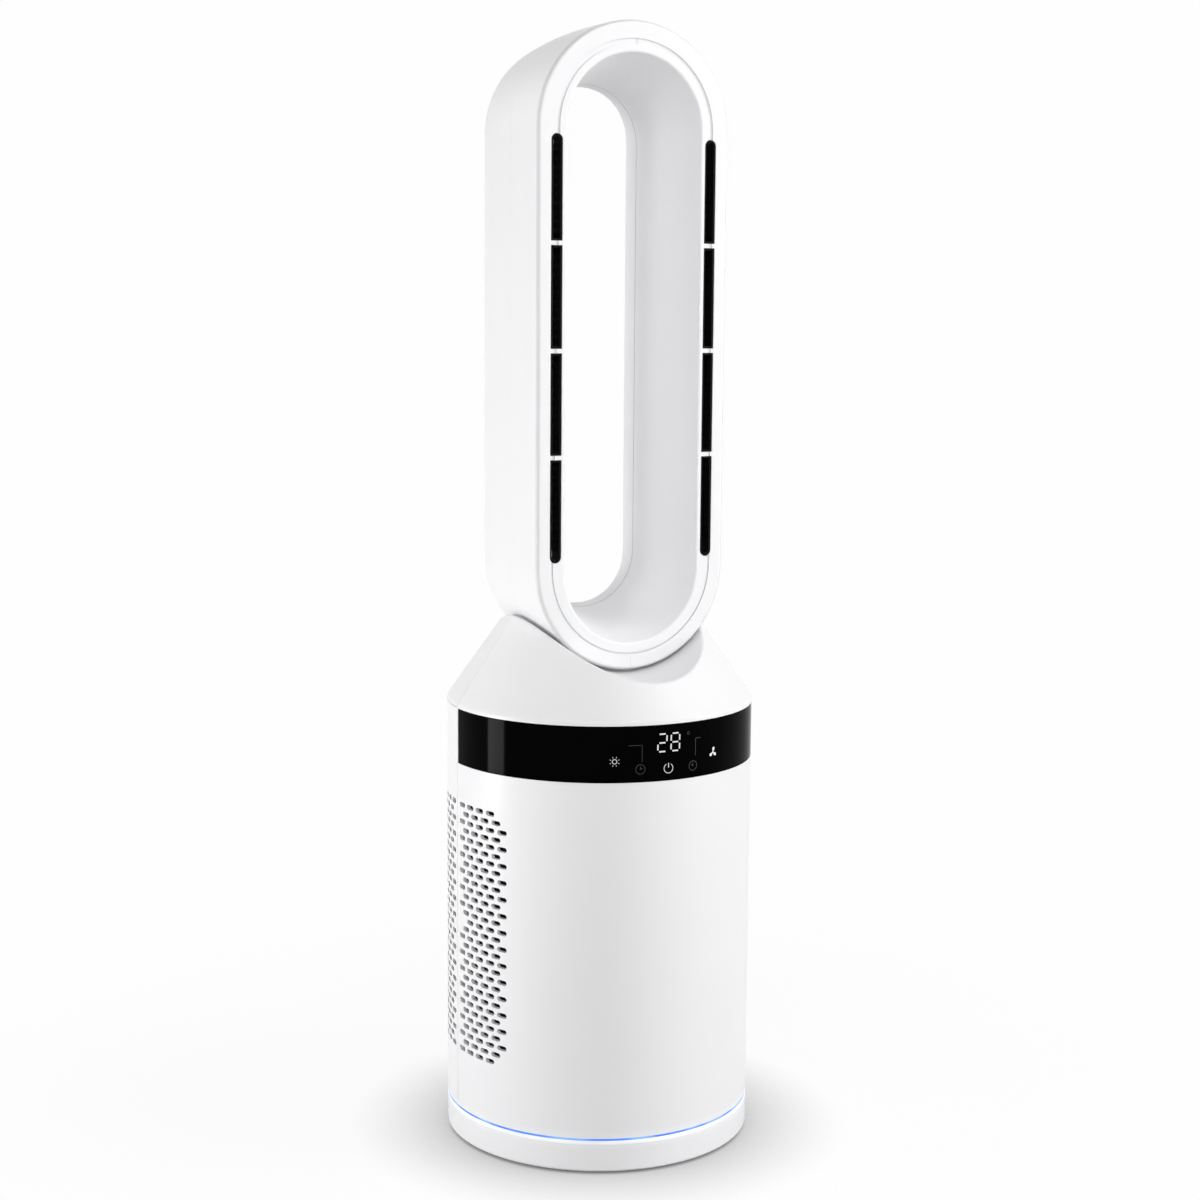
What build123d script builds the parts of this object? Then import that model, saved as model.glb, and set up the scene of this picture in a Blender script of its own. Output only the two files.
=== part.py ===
"""A tower-shaped bladeless fan: a round base, a turning tower that draws air in, and an oval air loop.

Millimetres. The origin is the centre of the footprint on the floor, +Z is up and the front faces -Y.
Azimuths are in degrees, measured about Z from the front (-Y) towards +X.
"""

from build123d import *
from math import acos, cos, pi, radians, sin, sqrt, tan
import os

os.makedirs("parts", exist_ok=True)

# ---------------------------------------------------------------- driving sizes
# outside
body_r = 110.0  # outer radius of the base and of the tower
wall = 3.0  # housing walls
foot_h = 2.0  # the base's edge stands this far above the floor
base_top = 24.3  # top of the base's outer wall
base_bevel = 1.4  # round of the base's lower edge
light_h = 1.2  # lit edge of the light ring
shoulder_z = 319.0  # where the cylinder ends and the cone begins
shoulder_ease = 0.8  # the corner between them is eased by this much
cone_rise, crown_r = 81.0, 52.976  # the cone is drawn this high and to this radius, before the saddle cuts it
ridge_r = 2.0  # round along the edge of the saddle
band_drop, band_h, band_depth = 2.7, 39.1, 2.0  # black control band: below the shoulder, height, depth
band_half = 91.0  # degrees that the band's recess reaches either side of the front
part_y = 3.2  # the front and rear of the tower meet in this plane

# air loop
loop_r = 72.7  # half width
loop_rise, loop_leg = 98.0, 299.4  # lower arc centre above the shoulder, and upper centre above the lower
loop_front, loop_back = -48.9, 60.5
taper_y = -20.0  # its outer wall draws in behind this
tail_in, tail_y = 5.2, 51.5  # how far it has drawn in where it runs into the nose
nose_in = 14.2  # the hindmost line of the nose, from the outside
mouth_r, mouth_drop = 51.3, 2.5  # the opening's front edge, and its lower centre below the loop's
throat_r, throat_y = 39.2, 41.9  # half width of the opening's rear edge where the nose meets it
throat_top_in, throat_foot_in = 5.2, 4.1  # its two centres nearer to each other than the loop's
nose_lean = 0.75  # half width lost for each millimetre of depth on the nose's inner side
core_r, tunnel_over = 30.0, 6.0  # the loop is made open this far, then its opening is cut through past both ends
outer_seam, tunnel_seam = -2.5, 29.0  # where the front and rear shells part
shell_wall = 2.5
edge_round, lip_round = 3.0, 1.5  # rounds of the front face's outer and inner edges
saddle_gap = 2.5  # between the loop and the saddle it stands in
groove_high, groove_low = (56.4, 60.4), (60.6, 61.8)  # face groove at the upper and lower arcs
groove_depth = 1.0
slot_x, slot_w, slot_end, slot_count = 58.65, 8.7, 4.9, 4  # a column of outlet slots on each side
bar_w, bar_corner = 3.0, 1.1  # bars between the slots

# intake perforations
hole_long, hole_high = 8.5, 3.5
hole_pitch, row_pitch, hole_rows = 5.9, 5.93, 31  # degrees along a row, millimetres between rows
hole_drop = 70.4  # top row below the shoulder
hole_seam = 91.7  # azimuth of the parting line that the columns are counted from
front_columns = {0: (4.45, 5), 1: (7.4, 4)}  # by row parity: degrees to the first hole, holes in the row
rear_columns = {0: (3.7, 13), 1: (6.3, 12)}
plain_row = 14  # row that leaves out the hole beside the seam, where a screw boss stands

# clearances
fit = 0.2  # between pieces that seat on each other
seam = 0.2  # half of a visible parting line
clear = 0.4  # between pieces that move against each other
lens_gap = 0.1  # round the control band in its recess
shaft_clear = 0.04  # radial running clearance of shafts
press = 0.02  # radial room where a ring is pressed on or in

# screws: shank, through hole, pilot hole, head and counterbore radii, and head height
screw_r, screw_hole_r, pilot_r, head_r, sink_r, head_h = 1.6, 1.9, 1.65, 3.1, 3.4, 1.6

# base and swivel
plate_t = 2.5  # bottom plate
deck_drop, deck_t = 10.3, 3.0  # fixed deck inside the base, below the base's top
ballast_in, ballast_t = 30.0, 7.0
post_r, post_bore = 18.0, 13.0  # hollow pivot post, which the wires pass
hub_r, hub_h = 26.0, 10.0
race_half, race_t = 8.0, 2.9
ball_r, ball_count, ball_play = 2.5, 16, 0.15
cage_half, cage_t = 5.0, 1.5
retainer_r, retainer_t, retainer_screw_count = 24.0, 3.0, 3
foot_r, foot_count = 9.0, 4
base_screw_count, base_boss_r, base_thread = 6, 4.0, 9.0
gland_r, gland_bore, gland_nut_r, gland_length = 4.2, 3.2, 4.65, 11.7
led_count, led_long, led_wide, led_h = 24, 3.5, 2.8, 1.9
led_board_w, board_t = 8.8, 1.6

# oscillation drive
module, sun_teeth, pinion_teeth, gear_t = 1.5, 48, 16, 5.6
gear_backlash = 0.25
pressure = radians(20)
osc_motor_r, osc_motor_h, osc_boss_r, osc_shaft_r = 14.0, 19.0, 4.5, 2.5
osc_shaft_h = 10.0  # the shaft's length inside its motor
osc_ear_w, osc_ear_t = 7.0, 1.0

# electronics
board_x, board_y, board_mid, board_corner = 110.0, 54.0, 59.0, 2.0
standoff_h, standoff_r, standoff_in = 5.0, 3.0, 5.0

# chassis
shelf_t = 3.0
floor_z = 60.0  # underside of the shelf under the filter
ceiling_drop = 62.0  # underside of the shelf over the filter, below the shoulder
post_x, post_y, deck_post_r, deck_thread = 80.0, 42.0, 5.0, 11.0
rail_w, rail_t = 8.3, 4.0

# filter
pleat_t, pleats = 3.0, 57
filter_depth = 26.5  # from the outside of the filter's frame to its inside
pleat_depth, carbon_t = 17.0, 3.5
filter_open = 65.0  # the C-shaped filter is open this far either side of the front
frame_t, frame_strip = 3.0, 2.5  # thickness of its end plates, and degrees of its end strips
tongue_half = 6.0  # half width in degrees of the tongues that clip it to the rear cover

# blower: radii, then heights from the underside of the ceiling that it hangs on
eye_r, duct_r, neck_r = 45.0, 55.0, 36.0
flange_r, flange_t, isolator_t = 72.0, 3.0, 1.5
ceiling_gap = 2.5  # between the duct and the hole that it passes through
tip_gap, blades, vanes = 0.6, 11, 9
hub_nose_r, hub_tail_r = 14.0, 27.0
bell_low, eye_low, eye_high, diffuser_low = -107.0, -85.0, -57.0, -31.0
impeller_low, impeller_high = -79.0, -35.0
shaft_low, shaft_high = -86.0, 20.0
bearing_lows = (-28.0, 12.0)
stator_low, stator_high = -17.0, 7.0
bucket_high, cap_high, duct_high = 33.0, 49.0, 63.0
shaft_r, nut_h, nut_r = 3.0, 5.0, 6.0
bearing_r, bearing_t, bearing_tube_r = 8.0, 6.0, 11.0
bucket_r, bucket_wall, stator_bore = 30.0, 2.0, 14.0
vane_low, vane_h = 5.0, 30.0
coil_r, coil_ring, coil_count, coil_end = 4.0, 20.8, 6, 3.0
magnet_gap = 0.8
guard_t, guard_radii, guard_spokes, guard_wire = 2.0, (16, 30, 44, 58.5), 6, 2.0
gasket_t = 2.0

# controls: board behind the lens, display block, and touch pads as (azimuth, height above the band's foot)
board_half, board_gap = 45.0, 4.0
display_w, display_h, display_d, display_rise = 24.0, 16.0, 9.0, 26.3
touch_points = [(-20.9, 14.8), (-11.6, 9.0), (-1.1, 8.4), (9.4, 8.3), (19.1, 15.7)]
spring_r, spring_t = 2.8, 0.7

# heaters in the loop's legs
heater_x, heater_y, heater_w, heater_d, heater_in = 62.4, -30.0, 13.4, 11.0, 12.0
fin_pitch, fin_t, core_w = 6.0, 0.8, 2.6
bracket_t, cutout_r, cutout_t = 4.0, 4.5, 5.0

# sizes that follow
inner_r = body_r - wall
bend_r = inner_r - 2.5  # inside of the thicker wall behind the band
seat_r = inner_r - fit  # edge of every shelf inside the tower
deck_z = base_top - deck_drop
deck_top = deck_z + deck_t
plate_top = foot_h + plate_t
tower_low = base_top + light_h + clear
ball_z = (deck_top + tower_low) / 2
table_top = tower_low + shelf_t
board_z = table_top + standoff_h
board_top = board_z + board_t
post_top = tower_low + hub_h + clear
sun_r, pinion_r = module * sun_teeth / 2, module * pinion_teeth / 2
pinion_y = -(sun_r + pinion_r)
race_mid, ballast_out = inner_r - 23, inner_r - 27
foot_ring, base_screw_ring, led_ring = body_r - 25, inner_r - 19, inner_r - 7.5
gland_in, gland_z = body_r - 0.3 - gland_length, (plate_top + deck_z) / 2
rail_in = inner_r - 9
ceiling_z = shoulder_z - ceiling_drop
ceiling_top = ceiling_z + shelf_t
band_high = shoulder_z - band_drop
band_low = band_high - band_h
cover_high = shoulder_z - 2.4  # top of the removable rear cover
loop_low = shoulder_z + loop_rise
loop_high = loop_low + loop_leg
slot_low, slot_high = loop_low + slot_end, loop_high - slot_end
slot_pitch = (slot_high - slot_low) / slot_count
bar_mids = [slot_low + k * slot_pitch for k in range(1, slot_count)]
bars = [(mid - bar_w / 2, mid + bar_w / 2) for mid in bar_mids]
saddle_r = loop_r + saddle_gap
cone_top = shoulder_z + cone_rise
cone_slope = (body_r - crown_r) / cone_rise  # radius lost for each millimetre of height
wall_across = wall * sqrt(1 + cone_slope**2)  # cone wall measured level
filter_r_out = inner_r - 13
filter_r_in = filter_r_out - filter_depth
filter_low, filter_high = floor_z + shelf_t + clear, ceiling_z - clear
media_low, media_high = filter_low + frame_t, filter_high - frame_t
pleat_out = filter_r_out - 2
pleat_in = pleat_out - pleat_depth
carbon_in = filter_r_in + 0.5
bearing_seat = bearing_r + press
duct_slope = (duct_r - eye_r) / (diffuser_low - eye_high)
duct_top = ceiling_z + duct_high
display_y = -(inner_r - 13)
heater_low, heater_high = loop_low + heater_in, loop_high - heater_in + 0.6


def cone_r(z):
    """Outer radius of the cone at a height."""
    return body_r - cone_slope * (z - shoulder_z)


def save(piece, name):
    """Label a finished piece and write it."""
    piece.part.label = name
    export_step(piece.part, f"parts/{name}.step", write_pcurves=False)


def around(azimuth):
    """Upright plane through the Z axis whose X points at an azimuth."""
    a = radians(azimuth)
    return Plane(origin=(0, 0, 0), x_dir=(sin(a), -cos(a), 0), z_dir=(-cos(a), -sin(a), 0))


def turned(points, start=0.0, arc=360.0, mode=Mode.ADD):
    """Revolve a closed outline of (radius, height) points about Z, from an azimuth through an arc."""
    with BuildSketch(around(start)) as outline:
        with BuildLine():
            Polyline(*points, close=True)
        make_face()
    revolve(outline.sketch, axis=Axis.Z, revolution_arc=arc, mode=mode)


def block(r_in, r_out, low, high):
    """Outline of a plain ring."""
    return [(r_in, low), (r_out, low), (r_out, high), (r_in, high)]


def discs(radius, spots, low, height, mode=Mode.ADD):
    """Upright cylinders at a pattern of spots, standing on a height (or hanging, for a negative height)."""
    with BuildSketch(Plane.XY.offset(low)) as made:
        with spots:
            Circle(radius)
    extrude(made.sketch, amount=height, mode=mode)


# blocks over the front and the rear of the tower, each short of the parting plane by half a parting line
half_size = 4 * body_r
front_half = Pos(0, part_y - seam - half_size / 2, half_size / 2) * Box(half_size, half_size, half_size)
rear_half = Pos(0, part_y + seam + half_size / 2, half_size / 2) * Box(half_size, half_size, half_size)


# ---------------------------------------------------------------- base
base_screw_spots = PolarLocations(base_screw_ring, base_screw_count, start_angle=30)
retainer_spots = PolarLocations((post_r + post_bore) / 2, retainer_screw_count)
retainer_screw_r, retainer_thread = 1.4, 7.0

with BuildPart() as base_shell:
    turned([
        (inner_r, foot_h), (body_r - base_bevel, foot_h), (body_r, foot_h + base_bevel), (body_r, base_top),
        (inner_r, base_top), (inner_r, deck_top), (post_r, deck_top), (post_r, post_top),
        (post_bore, post_top), (post_bore, deck_z), (inner_r, deck_z),
    ])
    discs(base_boss_r, base_screw_spots, plate_top, deck_z - plate_top)
    discs(pilot_r, base_screw_spots, plate_top, base_thread, Mode.SUBTRACT)
    discs(retainer_screw_r + 0.05, retainer_spots, post_top, -retainer_thread - 1, Mode.SUBTRACT)
    with BuildSketch(Plane(origin=(0, gland_in, gland_z), z_dir=(0, 1, 0))):
        Circle(gland_r + fit / 2)
    extrude(amount=gland_length + 1, mode=Mode.SUBTRACT)
save(base_shell, "base_shell")

with BuildPart() as base_plate:
    turned(block(0, seat_r, foot_h, plate_top))
    discs(screw_hole_r, base_screw_spots, foot_h, plate_t, Mode.SUBTRACT)
    discs(sink_r, base_screw_spots, foot_h, head_h + fit, Mode.SUBTRACT)
save(base_plate, "base_plate")

with BuildPart() as base_screws:
    discs(head_r, base_screw_spots, foot_h + fit, head_h)
    discs(screw_r, base_screw_spots, foot_h + fit + head_h, base_thread)
save(base_screws, "base_screws")

with BuildPart() as rubber_feet:
    discs(foot_r, PolarLocations(foot_ring, foot_count, start_angle=45), 0, foot_h)
    chamfer(rubber_feet.edges().group_by(Axis.Z)[0], 0.5)
save(rubber_feet, "rubber_feet")

with BuildPart() as ballast_plate:
    turned(block(ballast_in, ballast_out, plate_top, plate_top + ballast_t))
save(ballast_plate, "ballast_plate")

with BuildPart() as cord_gland:
    # strain relief collar in the rear wall, with its nut inside
    with BuildSketch(Plane(origin=(0, gland_in, gland_z), z_dir=(0, 1, 0))):
        Circle(gland_r)
        Circle(gland_bore, mode=Mode.SUBTRACT)
    extrude(amount=gland_length)
    with BuildSketch(Plane(origin=(0, inner_r - clear - wall, gland_z), z_dir=(0, 1, 0))):
        Circle(gland_nut_r)
        Circle(gland_bore, mode=Mode.SUBTRACT)
    extrude(amount=wall)
save(cord_gland, "cord_gland")

with BuildPart() as light_ring:
    # L-shaped diffuser: its lip lies on the base's wall, its leg hangs inside over the lamps
    leg_r, leg_h, lip_r = inner_r - 2.8, 4.3, body_r - 0.3
    turned([
        (leg_r, base_top - leg_h), (inner_r - fit / 2, base_top - leg_h), (inner_r - fit / 2, base_top),
        (lip_r, base_top), (lip_r, base_top + light_h), (leg_r, base_top + light_h),
    ])
save(light_ring, "light_ring")

with BuildPart() as light_ring_board:
    turned(block(led_ring - led_board_w / 2, led_ring + led_board_w / 2, deck_top, deck_top + board_t))
save(light_ring_board, "light_ring_board")

with BuildPart() as ring_leds:
    with BuildSketch(Plane.XY.offset(deck_top + board_t)):
        with PolarLocations(led_ring, led_count):
            Rectangle(led_long, led_wide)
    extrude(amount=led_h)
save(ring_leds, "ring_leds")


# ---------------------------------------------------------------- swivel bearing and pivot
def race(low, high):
    """A flat race with a groove for the balls."""
    turned(block(race_mid - race_half, race_mid + race_half, low, high))
    with BuildSketch(around(0)) as groove:
        with Locations((race_mid, ball_z)):
            Circle(ball_r + ball_play)
    revolve(groove.sketch, axis=Axis.Z, mode=Mode.SUBTRACT)


with BuildPart() as lower_race:
    race(deck_top, deck_top + race_t)
save(lower_race, "lower_race")

with BuildPart() as upper_race:
    race(tower_low - race_t, tower_low)
save(upper_race, "upper_race")

with BuildPart() as bearing_balls:
    with Locations(Plane.XY.offset(ball_z)):
        with PolarLocations(race_mid, ball_count):
            Sphere(ball_r)
save(bearing_balls, "bearing_balls")

with BuildPart() as ball_cage:
    turned(block(race_mid - cage_half, race_mid + cage_half, ball_z - cage_t / 2, ball_z + cage_t / 2))
    discs(ball_r + fit, PolarLocations(race_mid, ball_count), ball_z - cage_t, 2 * cage_t, Mode.SUBTRACT)
save(ball_cage, "ball_cage")

with BuildPart() as pivot_retainer:
    turned(block(post_bore, retainer_r, post_top, post_top + retainer_t))
    discs(retainer_screw_r + 0.1, retainer_spots, post_top, retainer_t, Mode.SUBTRACT)
save(pivot_retainer, "pivot_retainer")

with BuildPart() as retainer_screws:
    discs(retainer_screw_r, retainer_spots, post_top - retainer_thread, retainer_thread + retainer_t)
    discs(retainer_screw_r + 1, retainer_spots, post_top + retainer_t, head_h)
save(retainer_screws, "retainer_screws")


# ---------------------------------------------------------------- oscillation drive
def tooth(teeth):
    """One involute tooth about +X, rooted inside the gear's root circle."""
    pitch_r = module * teeth / 2
    base_r, root_r, tip_r = pitch_r * cos(pressure), pitch_r - 1.25 * module, pitch_r + module
    half = pi / (2 * teeth) - gear_backlash / (2 * pitch_r) + tan(pressure) - pressure
    start = max(base_r, root_r)

    def flank(step, side):
        r = start + (tip_r - start) * step / 4
        a = acos(base_r / r)
        turn = side * (half - (tan(a) - a))
        return r * cos(turn), r * sin(turn)

    foot = root_r * 0.9
    left, right = [flank(k, 1) for k in range(5)], [flank(k, -1) for k in range(5)]
    with BuildSketch() as made:
        with BuildLine():
            Spline(*right)
            Line(right[4], left[4])
            Spline(*left)
            Polyline(left[0], (foot, left[0][1]), (foot, right[0][1]), right[0])
        make_face()
    return made.sketch, root_r


def gear(teeth, plane, turn, bore):
    """A spur gear on a plane, with a tooth centred on the turn, inside an open part."""
    shape, root_r = tooth(teeth)
    with BuildSketch(plane) as outline:
        Circle(root_r)
        with PolarLocations(0, teeth, start_angle=turn):
            add(shape)
        Circle(bore, mode=Mode.SUBTRACT)
    extrude(outline.sketch, amount=gear_t)


with BuildPart() as sun_gear:
    gear(sun_teeth, Plane.XY.offset(deck_top), 0, post_r + fit / 2)
save(sun_gear, "sun_gear")

with BuildPart() as drive_pinion:
    half_tooth = 180 / pinion_teeth
    gear(pinion_teeth, Plane(origin=(0, pinion_y, deck_top + clear)), 90 + half_tooth, osc_shaft_r + fit / 4)
save(drive_pinion, "drive_pinion")

with BuildPart() as motor_output_shaft:
    with BuildSketch(Plane(origin=(0, pinion_y, deck_top + clear))):
        Circle(osc_shaft_r)
    extrude(amount=table_top + osc_shaft_h - deck_top)
save(motor_output_shaft, "motor_output_shaft")

with BuildPart() as oscillation_motor:
    with BuildSketch(Plane(origin=(0, pinion_y, table_top))):
        Circle(osc_motor_r)
    extrude(amount=osc_motor_h)
    with BuildSketch(Plane(origin=(0, pinion_y, table_top))):
        SlotOverall(3 * osc_motor_r, osc_ear_w)
        with GridLocations(2.5 * osc_motor_r, 0, 2, 1):
            Circle(screw_r, mode=Mode.SUBTRACT)
    extrude(amount=osc_ear_t)
    with BuildSketch(Plane(origin=(0, pinion_y, tower_low))):
        Circle(osc_boss_r)
    extrude(amount=shelf_t)
    with BuildSketch(Plane(origin=(0, pinion_y, tower_low))):
        Circle(osc_shaft_r + shaft_clear)
    extrude(amount=shelf_t + osc_shaft_h + 2, mode=Mode.SUBTRACT)
save(oscillation_motor, "oscillation_motor")

# ---------------------------------------------------------------- tower floor and electronics
deck_spots = GridLocations(2 * post_x, 2 * post_y, 2, 2)
sunk_z = floor_z + shelf_t - head_h - fit  # bottom of the counterbores in the intake floor

with BuildPart() as turntable:
    hub_bore = post_r + 0.3
    turned([
        (hub_bore, tower_low), (seat_r, tower_low), (seat_r, table_top), (hub_r, table_top),
        (hub_r, tower_low + hub_h), (hub_bore, tower_low + hub_h),
    ])
    with BuildSketch(Plane(origin=(0, pinion_y, tower_low))):
        Circle(osc_boss_r + fit)
    extrude(amount=shelf_t, mode=Mode.SUBTRACT)
    with BuildSketch(Plane(origin=(0, board_mid, table_top))):
        with GridLocations(board_x - 2 * standoff_in, board_y - 2 * standoff_in, 2, 2):
            Circle(standoff_r)
    extrude(amount=standoff_h)
save(turntable, "turntable")

with BuildPart() as deck_posts:
    discs(deck_post_r, deck_spots, table_top, floor_z - table_top)
    discs(pilot_r, deck_spots, floor_z, -deck_thread - 1, Mode.SUBTRACT)
save(deck_posts, "deck_posts")

with BuildPart() as intake_floor:
    turned(block(0, seat_r, floor_z, floor_z + shelf_t))
    discs(screw_hole_r, deck_spots, floor_z, shelf_t, Mode.SUBTRACT)
    discs(sink_r, deck_spots, sunk_z, head_h + 1, Mode.SUBTRACT)
save(intake_floor, "intake_floor")

with BuildPart() as deck_screws:
    discs(head_r, deck_spots, sunk_z, head_h)
    discs(screw_r, deck_spots, sunk_z, -deck_thread)
save(deck_screws, "deck_screws")

with BuildPart() as main_board:
    with BuildSketch(Plane(origin=(0, board_mid, board_z))):
        RectangleRounded(board_x, board_y, board_corner)
    extrude(amount=board_t)
save(main_board, "main_board")

with BuildPart() as board_components:
    # x and y from the board's middle, then width, depth and height, or radius and height
    boxes = {
        "transformer": (-38, 13, 24, 20, 17),
        "motor relay": (-12, 17, 12, 15, 14),
        "heater relay": (4, 17, 12, 15, 14),
        "mains terminal": (-40, -17, 20, 8, 10),
        "heater terminal": (-14, -17, 20, 8, 10),
    }
    cans = {"reservoir": (20, 16, 5.5, 16), "filter": (34, 16, 5.5, 16), "timing": (8, -7, 4, 11)}
    for x, y, width, depth, height in boxes.values():
        with BuildSketch(Plane(origin=(x, board_mid + y, board_top))):
            Rectangle(width, depth)
        extrude(amount=height)
    for x, y, radius, height in cans.values():
        with BuildSketch(Plane(origin=(x, board_mid + y, board_top))):
            Circle(radius)
        extrude(amount=height)
save(board_components, "board_components")

with BuildPart() as heat_sink:
    sink_x, sink_y, sink_w, sink_d, sink_base, sink_h = 38.0, -9.0, 24.0, 14.0, 3.0, 18.0
    sink_fins, sink_fin_t = 8, 1.2
    sink_plane = Plane(origin=(sink_x, board_mid + sink_y, board_top))
    with BuildSketch(sink_plane):
        Rectangle(sink_w, sink_d)
    extrude(amount=sink_base)
    with BuildSketch(sink_plane):
        with GridLocations((sink_w - sink_fin_t) / (sink_fins - 1), 0, sink_fins, 1):
            Rectangle(sink_fin_t, sink_d)
    extrude(amount=sink_h)
save(heat_sink, "heat_sink")

# ---------------------------------------------------------------- chassis above the electronics
with BuildPart() as intake_ceiling:
    turned(block(duct_r + shell_wall + ceiling_gap, seat_r, ceiling_z, ceiling_top))
save(intake_ceiling, "intake_ceiling")

with BuildPart() as chassis_rails:
    with BuildSketch(Plane.XY.offset(floor_z + shelf_t)):
        with GridLocations(2 * rail_in + rail_w, 0, 2, 1):
            Rectangle(rail_w, rail_t)
    extrude(amount=ceiling_z - floor_z - shelf_t)
save(chassis_rails, "chassis_rails")


# ---------------------------------------------------------------- outer shells of the tower
def shoulder(low):
    """The hollow cone above a height, cut by the saddle the loop stands in and skinned along the cut."""
    neck_hole_r = neck_r + shell_wall + clear
    with BuildPart() as solid_cone:
        turned([(0, low), (body_r, low), (body_r, shoulder_z - shoulder_ease),
                (cone_r(shoulder_z + shoulder_ease), shoulder_z + shoulder_ease),
                (cone_r(cone_top), cone_top), (0, cone_top)])
        with BuildSketch(Plane.XZ.offset(-2 * body_r)):
            with Locations((0, loop_low)):
                Circle(saddle_r)
        extrude(amount=4 * body_r, mode=Mode.SUBTRACT)
        ridge = solid_cone.edges().filter_by(lambda e: e.center().Z > shoulder_z + 10).sort_by(SortBy.LENGTH)
        fillet(ridge[-1], ridge_r)
    inside_z = shoulder_z + (body_r - wall_across - bend_r) / cone_slope
    with BuildPart() as hollow:
        turned([(0, low), (bend_r, low), (bend_r, inside_z),
                (cone_r(cone_top) - wall_across, cone_top), (0, cone_top)])
        with BuildSketch(Plane.XZ.offset(-2 * body_r)):
            with Locations((0, loop_low)):
                Circle(saddle_r + wall)
        extrude(amount=4 * body_r, mode=Mode.SUBTRACT)
    with BuildPart() as shell:
        add(solid_cone.part)
        add(hollow.part, mode=Mode.SUBTRACT)
        with BuildSketch(Plane.XY.offset(low)):
            Circle(neck_hole_r)
        extrude(amount=cone_top - low, mode=Mode.SUBTRACT)
    return shell.part


def intake_holes(columns, turn):
    """Cutters for both sides' fields of slots; turn is +1 to count towards the rear and -1 to the front."""
    cutters = []
    for row in range(hole_rows):
        first, count = columns[row % 2]
        for column in range(count):
            edge_row = row in (0, hole_rows - 1)
            if turn < 0 and (edge_row and column == count - 1 or row == plain_row and column == 0):
                continue
            azimuth = hole_seam + turn * (first + column * hole_pitch)
            for side in (-1, 1):
                face = around(side * azimuth)
                spot = Plane(
                    origin=face.x_dir * (body_r + 1) + Vector(0, 0, shoulder_z - hole_drop - row * row_pitch),
                    x_dir=face.z_dir, z_dir=face.x_dir,
                )
                with BuildPart() as cutter:
                    with BuildSketch(spot):
                        SlotOverall(hole_long, hole_high)
                    extrude(amount=-(wall + 3))
                cutters.append(cutter.part.solid())
    return cutters


with BuildPart() as front_housing:
    shelf_z = band_low - 10  # where the wall thickens to carry the band
    turned([(inner_r, tower_low), (body_r, tower_low), (body_r, cover_high + fit), (bend_r, cover_high + fit),
            (bend_r, shelf_z), (inner_r, shelf_z - (inner_r - bend_r))])
    add(shoulder(cover_high + fit))
    turned(block(body_r - band_depth - lens_gap / 2, body_r + 1, band_low, band_high),
           start=-band_half, arc=2 * band_half, mode=Mode.SUBTRACT)
    add(front_half, mode=Mode.INTERSECT)
    add(intake_holes(front_columns, -1), mode=Mode.SUBTRACT)
save(front_housing, "front_housing")

with BuildPart() as rear_cover:
    turned(block(inner_r, body_r, tower_low, cover_high))
    add(rear_half, mode=Mode.INTERSECT)
    add(intake_holes(rear_columns, 1), mode=Mode.SUBTRACT)
save(rear_cover, "rear_cover")

with BuildPart() as rear_shoulder:
    # rear half of the cone, with a skirt that stands inside the removable cover
    skirt_r = inner_r - clear
    add(shoulder(cover_high + clear))
    turned(block(skirt_r - wall, skirt_r, ceiling_top, shoulder_z))
    add(rear_half, mode=Mode.INTERSECT)
save(rear_shoulder, "rear_shoulder")

with BuildPart() as control_lens:
    turned(block(body_r - band_depth, body_r, band_low + lens_gap, band_high - lens_gap),
           start=-(band_half - lens_gap), arc=2 * (band_half - lens_gap))
save(control_lens, "control_lens")

# ---------------------------------------------------------------- controls behind the lens
with BuildPart() as display_board:
    with BuildSketch(Plane.XZ.offset(-display_y)):
        with Locations((0, (band_low + band_high) / 2)):
            Rectangle(2 * board_half, band_h - board_gap)
    extrude(amount=-board_t)
save(display_board, "display_board")

with BuildPart() as display_module:
    with BuildSketch(Plane.XZ.offset(-display_y)):
        with Locations((0, band_low + display_rise)):
            Rectangle(display_w, display_h)
    extrude(amount=display_d)
save(display_module, "display_module")

with BuildPart() as touch_springs:
    for azimuth, rise in touch_points:
        x = (bend_r - 1) * sin(radians(azimuth))
        reach = sqrt((bend_r - fit) ** 2 - (abs(x) + spring_r) ** 2) + display_y
        with BuildSketch(Plane(origin=(x, display_y, band_low + rise), z_dir=(0, -1, 0))):
            Circle(spring_r)
            Circle(spring_r - spring_t, mode=Mode.SUBTRACT)
        extrude(amount=reach)
save(touch_springs, "touch_springs")


# ---------------------------------------------------------------- filter
def c_ring(r_in, r_out, low, high, inset=0.0):
    """A ring open towards the front."""
    start = filter_open + inset
    turned(block(r_in, r_out, low, high), start=start, arc=360 - 2 * start)


with BuildPart() as filter_frame:
    c_ring(filter_r_in, filter_r_out, filter_low, filter_low + frame_t)
    c_ring(filter_r_in, filter_r_out, filter_high - frame_t, filter_high)
    for start in (filter_open, 360 - filter_open - frame_strip):
        turned(block(filter_r_in, filter_r_out, filter_low, filter_high), start=start, arc=frame_strip)
    for low in (filter_low, filter_high - frame_t):
        # tongues that clip to the inside of the rear cover
        turned(block(filter_r_out - 1, inner_r - fit, low, low + frame_t),
               start=180 - tongue_half, arc=2 * tongue_half)
save(filter_frame, "filter_frame")

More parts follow.
